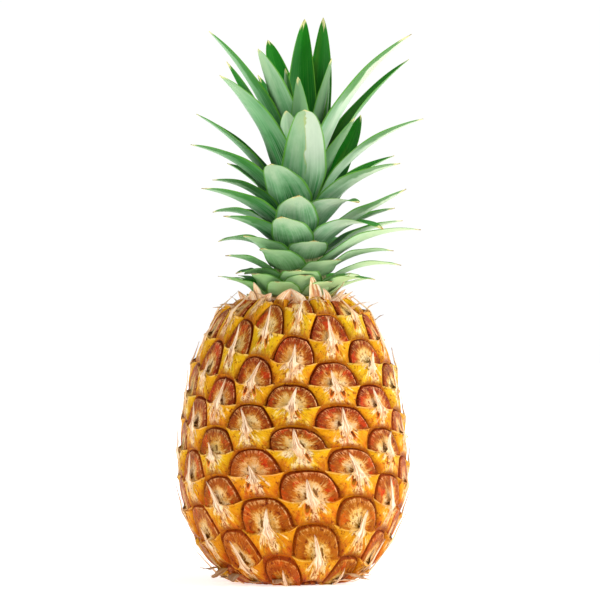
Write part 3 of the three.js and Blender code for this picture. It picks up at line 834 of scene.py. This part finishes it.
# Materials
class Finish:
    """A material being mixed. Each method adds a node or a few and gives back their output."""

    def __init__(self, name):
        self.material = bpy.data.materials.new(name)
        self.material.use_nodes = True
        self.tree = self.material.node_tree
        self.shader = self.tree.nodes["Principled BSDF"]

    def add(self, kind, **settings):
        node = self.tree.nodes.new(kind)
        for setting, value in settings.items():
            setattr(node, setting, value)
        return node

    def feed(self, socket, value):
        if isinstance(value, bpy.types.NodeSocket):
            self.tree.links.new(value, socket)
        else:
            socket.default_value = value

    def split(self, vector):
        parts = self.add("ShaderNodeSeparateXYZ")
        self.feed(parts.inputs[0], vector)
        return parts.outputs

    def read(self, name):
        """The three numbers kept under a name, as separate outputs."""
        return self.split(self.add("ShaderNodeAttribute", attribute_name=name).outputs["Vector"])

    def place(self):
        """Object coordinates, in metres, as separate outputs."""
        return self.split(self.add("ShaderNodeTexCoord").outputs["Object"])

    def maths(self, operation, first, second=0.0):
        node = self.add("ShaderNodeMath", operation=operation)
        for socket, value in zip(node.inputs, (first, second)):
            self.feed(socket, value)
        return node.outputs[0]

    def times(self, first, second):
        return self.maths("MULTIPLY", first, second)

    def plus(self, first, second):
        return self.maths("ADD", first, second)

    def minus(self, first, second):
        return self.maths("SUBTRACT", first, second)

    def divide(self, first, second):
        return self.maths("DIVIDE", first, second)

    def size(self, value):
        return self.maths("ABSOLUTE", value)

    def squares(self, first, second):
        """The sum of two squares."""
        return self.plus(self.times(first, first), self.times(second, second))

    def draw(self, seed, use):
        """A number from 0 to 1 that differs from seed to seed and from use to use."""
        return self.maths("FRACT", self.times(seed, use))

    def join(self, x, y, z):
        node = self.add("ShaderNodeCombineXYZ")
        for socket, value in zip(node.inputs, (x, y, z)):
            self.feed(socket, value)
        return node.outputs[0]

    def noise(self, where, scale, detail=3, roughness=0.55):
        node = self.add("ShaderNodeTexNoise")
        self.feed(node.inputs["Vector"], where)
        node.inputs["Scale"].default_value = scale
        node.inputs["Detail"].default_value = detail
        node.inputs["Roughness"].default_value = roughness
        return node.outputs["Fac"]

    def streaks(self, first, second, own, detail=3, roughness=0.55):
        """Noise over two measures, each given with how many times finer it gets along it."""
        return self.noise(self.join(self.times(*first), self.times(*second), own), 1, detail, roughness)

    def ramp(self, value, stops):
        """Colours along a value: stops are (value, red, green, blue)."""
        node = self.add("ShaderNodeValToRGB")
        elements = node.color_ramp.elements
        while len(elements) < len(stops):
            elements.new(0.5)
        for element, (position, *tone) in zip(elements, stops):
            element.position = position
            element.color = (*paint(*tone), 1)
        self.feed(node.inputs[0], value)
        return node.outputs["Color"]

    def level(self, value, low, high):
        """0 below low, 1 above high and a soft step between them."""
        node = self.add("ShaderNodeMapRange", interpolation_type="SMOOTHSTEP")
        self.feed(node.inputs[0], value)
        node.inputs[1].default_value = low
        node.inputs[2].default_value = high
        return node.outputs[0]

    def scale(self, value, low, high, to_low, to_high):
        node = self.add("ShaderNodeMapRange")
        for socket, number in zip(node.inputs[1:5], (low, high, to_low, to_high)):
            socket.default_value = number
        self.feed(node.inputs[0], value)
        return node.outputs[0]

    def over_noise(self, noise, to_low, to_high):
        """A noise, which keeps to about 0.3 to 0.7, brought to a range of its own."""
        return self.scale(noise, 0.3, 0.7, to_low, to_high)

    def stray(self, value, noise, much):
        """A value moved by a noise, by so much at most either way."""
        return self.plus(value, self.over_noise(noise, -much, much))

    def mix(self, share, first, second, blend="MIX"):
        node = self.add("ShaderNodeMix", data_type="RGBA", blend_type=blend)
        self.feed(node.inputs[0], share)
        for socket, value in zip(node.inputs[6:8], (first, second)):
            self.feed(socket, value if isinstance(value, bpy.types.NodeSocket) else (*value, 1))
        return node.outputs[2]

    def coats(self, colour, rows):
        """A colour painted over coat by coat: each row is a tone, its strength and the masks it keeps to."""
        for tone, share, *masks in rows:
            for mask in masks:
                share = self.times(share, mask)
            colour = self.mix(share, colour, paint(*tone))
        return colour

    def bump(self, height, distance):
        node = self.add("ShaderNodeBump")
        node.inputs["Distance"].default_value = distance * MM
        self.feed(node.inputs["Height"], height)
        return node.outputs[0]

    def set(self, **values):
        for name, value in values.items():
            self.feed(self.shader.inputs[name.replace("_", " ")], value)


def paint(*tone):
    """A colour given as it looks on a screen, 0 to 255, as the light it stands for."""
    return tuple(((part / 255 + 0.055) / 1.055) ** 2.4 if part > 10 else part / 3295 for part in tone)


def cap_colour(f, share, reach, x, y, own, golden):
    """The flat cap of an eye: a brown streaked rim with red patches round a feathery cream middle, with a
    painted glint on the rim's edge and painted shade down into the groove round it.
    """
    streaks = f.streaks((share, 46), (reach, 2.2), own, 2)
    hairs = f.streaks((share, 120), (reach, 4), own, 2)
    blots = f.streaks((x, 0.16), (y, 0.16), own)
    stains = f.noise(f.join(f.times(x, 0.13), own, f.times(y, 0.13)), 1, 2)
    crumbs = f.noise(f.join(x, y, own), 0.75, 4, 0.75)
    edge = f.stray(reach, streaks, 0.1)
    edge = f.stray(edge, blots, 0.16)
    edge = f.stray(edge, crumbs, 0.1)
    colour = f.ramp(edge, [
        (0.0, 96, 70, 50),
        (0.08, 210, 170, 112),
        (0.18, 253, 236, 204),
        (0.42, 246, 208, 150),
        (0.52, 216, 148, 72),
        (0.6, 176, 92, 20),
        (0.76, 156, 66, 8),
        (0.9, 126, 42, 4),
    ])
    # The narrow crack that opens beside the spike, on either side of it
    side = f.scale(f.draw(own, 0.37), 0.499, 0.501, -1, 1)
    crack_width = f.scale(f.draw(own, 1.93), 0, 1, 0.02, 0.9)
    crack_x = f.divide(f.minus(x, f.times(side, f.scale(y, 0, 6, 2.6, 1.2))), crack_width)
    crack_y = f.divide(f.minus(y, 2), f.over_noise(stains, 0.8, 3.4))
    crack = f.stray(f.squares(crack_x, crack_y), crumbs, 0.6)
    on_rim = f.level(reach, 0.5, 0.75)
    # Pale teeth on the rim's upper part: pale fibres, with a painted highlight where the rim faces the light
    # above
    rim_teeth_and_glint = f.times(f.level(reach, 0.72, 0.8), f.level(reach, 0.9, 0.88))
    # A painted glint along the rim's outer edge, stronger towards the right, where the key light falls
    painted_rim_glint = f.times(f.level(reach, 0.84, 0.86), f.level(reach, 0.905, 0.885))
    reddened = f.scale(golden, 0.05, 0.5, 0.6, 0.85)
    colour = f.coats(colour, [
        ((226, 172, 50), 0.3, f.level(blots, 0.46, 0.56), f.level(edge, 0.7, 0.46)),  # olive
        ((136, 98, 78), 0.55, f.level(crumbs, 0.47, 0.36), f.level(edge, 0.5, 0.2)),  # grey crumbs
        ((228, 62, 10), reddened, f.level(stains, 0.53, 0.61), f.level(edge, 0.5, 0.62)),  # red patches
        ((150, 36, 8), 0.5, f.level(blots, 0.5, 0.4), on_rim),  # maroon parts of the rim
        ((254, 228, 176), 0.7, f.level(streaks, 0.54, 0.64), f.level(reach, 0.86, 0.5)),  # cream rays
        ((222, 146, 60), 0.5, f.level(hairs, 0.52, 0.66), on_rim),
        ((122, 38, 8), 0.65, f.level(streaks, 0.5, 0.34), on_rim),
        ((214, 146, 4), 0.7, golden, on_rim),
        ((244, 196, 170), 0.6, f.level(hairs, 0.5, 0.6), rim_teeth_and_glint, f.level(y, 4, 9)),
        # painted glint on the rim's edge, stronger towards the right
        ((252, 214, 186), f.scale(x, -10, 10, 0.1, 0.7), painted_rim_glint, f.level(streaks, 0.4, 0.56)),
        ((110, 66, 44), 0.8, f.level(crack, 1.4, 0.4)),
    ])
    # From the rim's end into the groove and out to the neighbouring bract: red-brown and ochre that are
    # partly their own colour and partly painted shade in the groove
    rim_end = f.mix(golden, paint(142, 56, 14), paint(176, 92, 16))
    groove_tone_and_shade = f.mix(golden, paint(106, 36, 8), paint(182, 100, 20))
    wing = f.mix(f.scale(blots, 0.35, 0.65, 0, 1), paint(176, 98, 2), paint(224, 160, 4))
    colour = f.mix(f.level(reach, 0.87, 0.905), colour, rim_end)
    colour = f.mix(f.level(reach, 0.9, 0.935), colour, groove_tone_and_shade)
    colour = f.mix(f.level(reach, 0.935, 0.98), colour, paint(144, 66, 4))
    return f.mix(f.level(reach, 0.955, 0.995), colour, wing)


def bract_colour(f, share, reach, x, y, own, seed, height):
    """A bract's two wings: golden yellow, cream and fibrous by the keel, orange towards its lower edge, which
    is partly painted shade, and with a painted highlight along its upper edge.
    """
    below = f.minus(2.5, y)
    bearing = f.maths("ARCTAN2", x, below)
    far = f.maths("SQRT", f.squares(x, below))
    fibres = f.streaks((bearing, 6), (far, 0.12), own)
    veins = f.streaks((bearing, 17), (far, 0.14), own)
    threads = f.streaks((bearing, 11), (far, 0.5), own, 3, 0.6)
    blots = f.streaks((x, 0.2), (y, 0.2), own)
    specks = f.noise(f.join(x, y, own), 0.8, 3, 0.6)
    grain = f.noise(f.join(x, own, y), 1.3, 4, 0.7)
    from_keel = f.size(x)
    aside = f.stray(from_keel, fibres, 4)
    aside = f.stray(aside, blots, 3)
    aside = f.plus(aside, f.scale(y, -12, 0, 4, 0))
    colour = f.ramp(f.divide(aside, 14), [
        (0.0, 240, 206, 180),
        (0.3, 255, 240, 214),
        (0.44, 254, 228, 140),
        (0.55, 252, 212, 14),
        (0.76, 244, 182, 0),
        (1.0, 206, 116, 0),
    ])
    on_wing = f.level(aside, 5, 8)
    by_keel = f.level(from_keel, 8, 3)
    blush = f.times(f.level(blots, 0.47, 0.57), f.level(from_keel, 4, 9))
    colour = f.coats(colour, [
        ((216, 192, 4), f.scale(height, 0.06, 0.14, 0.15, 0.95), f.level(blots, 0.4, 0.56), on_wing),  # lime
        ((232, 134, 0), f.scale(height, 0, 0.12, 0.95, 0.3), f.level(fibres, 0.5, 0.64), on_wing),  # orange
        ((228, 88, 2), f.scale(height, 0, 0.1, 0.85, 0.05), blush),
        ((150, 100, 98), 0.7, f.level(threads, 0.53, 0.62), by_keel),
        ((196, 96, 40), 0.5, f.level(specks, 0.58, 0.66), by_keel),
        ((254, 226, 150), f.scale(aside, 2, 9, 0.7, 0.2), f.level(veins, 0.54, 0.64)),
        ((206, 92, 12), 0.6, f.level(veins, 0.45, 0.36)),
    ])
    # The brown slit that some bracts have on either side of the keel
    for side, use in ((-1, 17.3), (1, 71.9)):
        luck = f.draw(seed, use)
        slit_y = f.plus(y, f.scale(luck, 0, 1, 3.4, 4.6))
        slit_x = f.minus(x, f.scale(slit_y, -4, 4, side * 3.6, side * 1.5))
        slit_width = f.scale(luck, 0.4, 1, 0.01, 1.2)
        slit = f.squares(f.divide(slit_x, slit_width), f.divide(slit_y, 2.9))
        colour = f.coats(colour, [
            ((252, 190, 130), f.level(slit, 2.6, 1.7)),
            ((234, 124, 44), f.level(slit, 1.5, 1.1)),
            ((142, 82, 14), f.level(slit, 0.9, 0.5)),
        ])
    lip = f.maths("MINIMUM", f.size(f.minus(share, 0.5)), f.minus(1, share))
    lip = f.times(lip, f.maths("MAXIMUM", reach, 0.25))
    outer = f.level(reach, 0.72, 1)
    return f.coats(colour, [
        # darker ochre towards the lower edge: partly its own colour, partly painted shade where the wing
        # turns down
        ((208, 134, 2), f.over_noise(grain, 0.1, 0.75), outer),
        # painted highlight on the wing's upper part, near its edge, as if lit from above
        ((255, 216, 16), f.over_noise(grain, 0.85, 0.45), f.level(lip, 0.14, 0.03), f.level(aside, 4, 8)),
        ((255, 222, 150), f.scale(fibres, 0.35, 0.6, 0.3, 0.9), f.level(lip, 0.022, 0.01)),  # lit edge
        ((152, 78, 2), 0.8, outer, f.level(lip, 0.07, 0.25)),  # lower edge, in the shade
    ])


def rind_finish():
    """The rind: in each eye a flat cap above, and under it a bract whose wing tips go up beside the cap."""
    f = Finish("pineapple_rind")
    share, reach, seed = f.read("eye_dial")
    x, y = f.read("eye_spot")[:2]
    height = f.place()[2]
    own = f.times(seed, 60)
    golden = f.scale(f.draw(seed, 31.7), 0, 1, 0.4, 1)
    golden = f.times(f.scale(height, 0.015, 0.1, 1, 0.05), golden)
    cap = cap_colour(f, share, reach, x, y, own, golden)
    bract = bract_colour(f, share, reach, x, y, own, seed, height)
    inside = f.times(f.level(share, 0, 0.004), f.level(share, 0.5, 0.496))
    colour = f.mix(inside, bract, cap)
    grain = f.noise(f.join(x, y, own), 1.6, 4, 0.7)
    dirt = f.noise(f.join(y, x, own), 0.5, 5, 0.7)
    painted_glints = f.noise(f.join(y, own, x), 1.1, 2, 0.5)
    colour = f.mix(f.level(dirt, 0.46, 0.34), colour, paint(170, 110, 70), "MULTIPLY")
    # Painted glints: small pale specks scattered over the rind
    colour = f.coats(colour, [((255, 236, 206), 0.3, f.level(painted_glints, 0.64, 0.72))])
    # Each eye has a tint of its own, and the lowest are more golden. Pale fibres take less of both.
    tint = f.mix(f.draw(seed, 53.9), paint(234, 192, 138), paint(228, 214, 140))
    parts = f.add("ShaderNodeSeparateColor")
    f.feed(parts.inputs[0], colour)
    pale = f.scale(parts.outputs["Blue"], 0.12, 0.5, 0, 1)
    colour = f.mix(f.scale(pale, 0, 1, 1, 0.55), colour, tint, "MULTIPLY")
    low = f.times(f.scale(height, 0.005, 0.07, 0.95, 0), f.scale(pale, 0, 1, 1, 0.3))
    colour = f.mix(low, colour, paint(232, 204, 70), "MULTIPLY")
    ribs = f.streaks((share, 110), (reach, 3), own, 2)
    relief = f.plus(f.times(ribs, 0.7), f.times(grain, 0.6))
    f.set(Base_Color=colour, Roughness=f.over_noise(grain, 0.34, 0.55), Normal=f.bump(relief, 0.7))
    f.set(Specular_IOR_Level=0.08)
    return f.material


def spike_finish():
    """Dry papery tissue: pinkish cream with fibres along it and brown flecks."""
    f = Finish("papery_bract")
    across, along = f.read("strip_place")[:2]
    own = f.times(f.read("strip_kind")[0], 60)
    fibres = f.streaks((across, 4.5), (along, 1.6), own, 4)
    flecks = f.streaks((across, 2), (along, 7), own)
    colour = f.ramp(fibres, [
        (0.32, 134, 84, 50),
        (0.42, 206, 156, 112),
        (0.52, 238, 204, 164),
        (0.66, 252, 236, 208),
    ])
    colour = f.coats(colour, [
        ((160, 110, 88), 0.55, f.level(flecks, 0.58, 0.66)),
        ((240, 190, 120), 0.7, f.level(along, 0.3, 0.1)),  # foot
        ((238, 196, 120), 0.8, f.level(f.size(across), 0.6, 1), f.level(along, 0.55, 0.35)),  # frayed edges
        ((134, 84, 54), 0.6, f.level(along, 0.88, 1)),  # tip
    ])
    f.set(Base_Color=colour, Normal=f.bump(fibres, 0.4))
    f.set(Roughness=0.62, Specular_IOR_Level=0.3)
    return f.material


def scrap_finish():
    """A dry scrap: tan and cream fibres, greyer on the dirtier ones, with a burnt edge."""
    f = Finish("dry_scrap")
    across, along = f.read("strip_place")[:2]
    seed, tone = f.read("strip_kind")[:2]
    own = f.times(seed, 60)
    fibres = f.streaks((across, 3), (along, 0.9), own, 4)
    blots = f.streaks((across, 1.5), (along, 3), own)
    colour = f.ramp(fibres, [
        (0.32, 206, 138, 88),
        (0.42, 236, 186, 132),
        (0.52, 250, 222, 178),
        (0.66, 255, 244, 222),
    ])
    colour = f.coats(colour, [
        ((236, 172, 50), 0.8, f.level(along, 0.45, 0)),
        ((196, 100, 50), 0.6, f.level(blots, 0.54, 0.64)),
    ])
    dirty = f.mix(fibres, paint(96, 74, 54), paint(178, 150, 118))
    colour = f.mix(f.times(tone, 0.75), colour, dirty)
    edge = f.maths("MAXIMUM", f.level(f.size(across), 0.85, 1), f.level(along, 0.9, 1))
    colour = f.coats(colour, [((132, 84, 50), 0.35, edge)])
    f.set(Base_Color=colour, Normal=f.bump(fibres, 0.4))
    f.set(Roughness=0.65, Specular_IOR_Level=0.2)
    return f.material


def leaf_finish():
    """A waxy leaf: pale grey-green outside, dark green inside, with thin green margins and a dry tip. Leaves
    turned towards the key light on the right are painted paler, those turned away darker, and each is darker
    at its foot, partly as painted shade.
    """
    f = Finish("waxy_leaf")
    across, along, depth = f.read("strip_place")
    age, seed, sunny = f.read("strip_kind")
    own = f.times(seed, 90)
    lines = f.streaks((across, 16), (along, 1.2), own, 4, 0.6)
    bands = f.streaks((across, 1.7), (along, 0.7), own, 2)
    clouds = f.streaks((across, 1.6), (along, 5), own)
    grain = f.streaks((across, 14), (along, 16), own)
    # Darker at the foot and paler towards the tip: partly the leaf's own colour, partly painted shade where
    # the leaves in front cover it
    shade = f.stray(along, clouds, 0.12)
    shade = f.stray(shade, bands, 0.16)
    # Painted light: leaves turned to the right, towards the key light, are paler, and those turned to the
    # left darker
    shade = f.plus(shade, f.scale(sunny, -1, 1, -0.16, 0.22))
    shade = f.plus(shade, f.scale(age, 0, 0.5, 0.36, 0))
    outer = f.ramp(shade, [
        (0.0, 26, 104, 36),
        (0.22, 78, 156, 90),
        (0.45, 146, 200, 150),
        (0.75, 208, 230, 198),
        (1.0, 216, 234, 194),
    ])
    bloom = f.times(f.level(along, 0.35, 0.9), f.level(age, 0.75, 0.5))
    outer = f.coats(outer, [
        ((212, 228, 206), f.scale(lines, 0.4, 0.66, 0, 0.5)),
        ((222, 236, 204), f.scale(clouds, 0.35, 0.65, 0.1, 0.5), bloom),
    ])
    outer = f.mix(f.scale(grain, 0.35, 0.7, 0, 0.12), outer, paint(140, 180, 140), "MULTIPLY")
    outer = f.mix(f.scale(age, 0, 0.4, 0.85, 0), outer, paint(204, 246, 172))
    # Painted shade: leaves turned away from the key light, to the left, are darkened
    outer = f.mix(f.scale(sunny, -1, 0.6, 0.9, 0), outer, paint(178, 210, 178), "MULTIPLY")
    # Leaves seen from the side show their green inner face curling over the upper half
    curled = f.level(f.stray(f.size(across), clouds, 0.2), 0.42, 0.62)
    side_on = f.times(f.level(f.size(sunny), 0.7, 0.9), f.level(age, 0.25, 0.4))
    outer = f.coats(outer, [
        ((52, 124, 50), f.scale(age, 1.2, YOUNG, 0, 0.7)),
        ((54, 130, 42), 0.85, curled, f.level(along, 0.25, 0.6), side_on),
    ])
    # The creased leaf: the whole leaf painted darker as shade, its right half painted paler as lit, and the
    # crease drawn along its middle
    half = f.plus(across, f.over_noise(clouds, -0.16, 0.2))
    other_leaf = f.size(f.minus(age, CREASED_LEAF / (LEAF_COUNT - 1)))
    painted_fold = f.times(f.level(other_leaf, 0.008, 0.004), f.level(along, 0.15, 0.5))
    outer = f.mix(painted_fold, outer, paint(204, 218, 204), "MULTIPLY")
    outer = f.coats(outer, [
        ((236, 240, 226), 0.45, painted_fold, f.level(half, 0, 0.06)),
        ((176, 184, 110), 0.6, painted_fold, f.level(f.size(half), 0.06, 0.02)),  # the crease itself
    ])
    inner = f.ramp(shade, [
        (0.0, 40, 130, 2),
        (0.25, 6, 106, 4),
        (0.6, 2, 100, 6),
        (1.0, 22, 120, 16),
    ])
    inner = f.coats(inner, [
        ((80, 144, 52), f.scale(lines, 0.5, 0.7, 0, 0.45)),
        ((96, 116, 30), 0.25, f.level(bands, 0.55, 0.66)),
    ])
    colour = f.mix(f.level(depth, 0.4, 0.6), outer, inner)
    dry = f.plus(f.stray(along, clouds, 0.05), f.scale(age, 0.35, 0.7, 0.045, 0))
    colour = f.coats(colour, [
        ((92, 158, 40), 0.85, f.level(f.size(across), 0.89, 0.95)),  # margins
        ((222, 218, 150), f.level(dry, 0.95, 0.99)),
        ((156, 132, 70), f.level(dry, 1, 1.03)),
    ])
    relief = f.times(lines, f.scale(along, 0.2, 1, 1, 0))
    f.set(Base_Color=colour, Roughness=f.over_noise(clouds, 0.38, 0.52), Normal=f.bump(relief, 0.25))
    f.set(Specular_IOR_Level=0.12)
    return f.material


def stem_finish():
    """The crown's stem, pale green and fibrous."""
    f = Finish("stem_flesh")
    x, y, z = f.place()
    fibres = f.streaks((x, 900), (y, 900), f.times(z, 160), 4)
    colour = f.ramp(fibres, [(0.35, 111, 129, 56), (0.5, 170, 173, 111), (0.65, 203, 197, 149)])
    f.set(Base_Color=colour, Normal=f.bump(fibres, 0.4))
    f.set(Roughness=0.7)
    return f.material


def floor_finish():
    f = Finish("pale_floor")
    f.set(Base_Color=(0.95, 0.95, 0.95, 1), Roughness=0.9)
    f.set(Emission_Color=(1, 1, 1, 1), Emission_Strength=0.6)
    return f.material


# Studio
def make_camera():
    width = PICTURE_WIDTH * PIXEL
    distance = width * LENS / SENSOR
    camera = bpy.data.cameras.new("camera")
    camera.lens = LENS
    camera.sensor_width = SENSOR
    camera.clip_end = 20
    holder = bpy.data.objects.new("camera", camera)
    bpy.context.collection.objects.link(holder)
    x, y, z = LOOK_AT
    holder.location = (x * MM, (y - distance) * MM, z * MM)
    holder.rotation_euler = (math.pi / 2, 0, 0)
    bpy.context.scene.camera = holder


def make_sun(name, toward, softness, strength):
    """A broad, soft light that comes from one side, given as a direction from the fruit."""
    lamp = bpy.data.lights.new(name, "SUN")
    lamp.angle = math.radians(softness)
    lamp.energy = strength
    holder = bpy.data.objects.new(name, lamp)
    bpy.context.collection.objects.link(holder)
    holder.rotation_euler = Vector(toward).to_track_quat("Z", "Y").to_euler()


def make_studio():
    """A white room, darker overhead than along its walls, with a pale floor and light from the right."""
    world = bpy.data.worlds.new("white_studio")
    bpy.context.scene.world = world
    world.use_nodes = True
    tree = world.node_tree
    background = tree.nodes["Background"]
    background.inputs["Color"].default_value = (1, 1, 1, 1)
    view = tree.nodes.new("ShaderNodeTexCoord")
    parts = tree.nodes.new("ShaderNodeSeparateXYZ")
    fade = tree.nodes.new("ShaderNodeMapRange")
    for socket, value in zip(fade.inputs[1:5], (0.1, 0.35, 1.02, 0.42)):
        socket.default_value = value
    tree.links.new(view.outputs["Generated"], parts.inputs[0])
    tree.links.new(parts.outputs[2], fade.inputs[0])
    tree.links.new(fade.outputs[0], background.inputs["Strength"])
    make_sun("key", (0.85, -0.17, 0.5), 40, 3.3)
    make_sun("fill", (-0.92, -0.3, 0.15), 60, 1.3)
    deselect_all()
    bpy.ops.mesh.primitive_circle_add(vertices=96, radius=6, fill_type="NGON")
    floor = active()
    floor.name = "floor"
    floor.data.materials.append(floor_finish())
    bpy.context.scene.view_settings.view_transform = "Standard"


# The whole fruit
make_camera()
make_studio()
rind = make_rind(rind_finish())
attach(rind, "root")
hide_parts("fruit")
make_spikes(spike_finish())
make_scraps(scrap_finish())
waxy = leaf_finish()
make_foot_leaves(waxy)
make_leaves(waxy)
frame["nodes"]["crown_stem"].material_slots[0].material = stem_finish()
